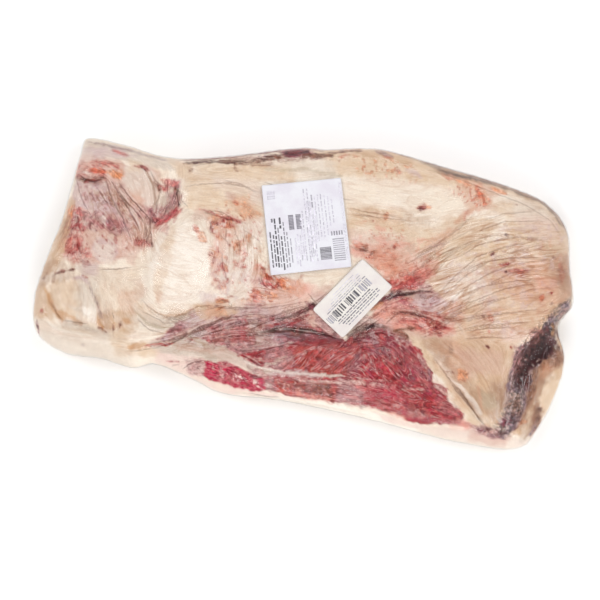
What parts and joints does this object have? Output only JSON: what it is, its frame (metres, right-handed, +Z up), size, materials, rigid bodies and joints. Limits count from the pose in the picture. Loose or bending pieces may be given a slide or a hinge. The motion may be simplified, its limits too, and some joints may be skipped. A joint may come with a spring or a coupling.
{
  "type": "vacuum-packed beef short plate",
  "caption": "Broad flat slab of beef plate, fat side up with a band of lean along its front edge, in a shrunk clear vacuum bag with paper labels on top.",
  "frame": {"origin": "middle of the footprint's box on the surface that the pack lies on", "axes": "+X along the plate towards its broad end, +Y towards the thick fat edge at the back, +Z up out of the labelled side"},
  "size_m": [0.6155, 0.3308, 0.0628],
  "materials": {
    "beef": null,
    "film": "clear glossy shrink film with fine wrinkles",
    "paper_white": "smooth white label paper",
    "paper_cream": "smooth cream label paper",
    "ink": "matt grey and black printing ink on paper"
  },
  "bodies": {
    "root": {"packed_plate": "beef", "label_large": "paper_white", "label_small": "paper_cream"}
  },
  "joints": []
}
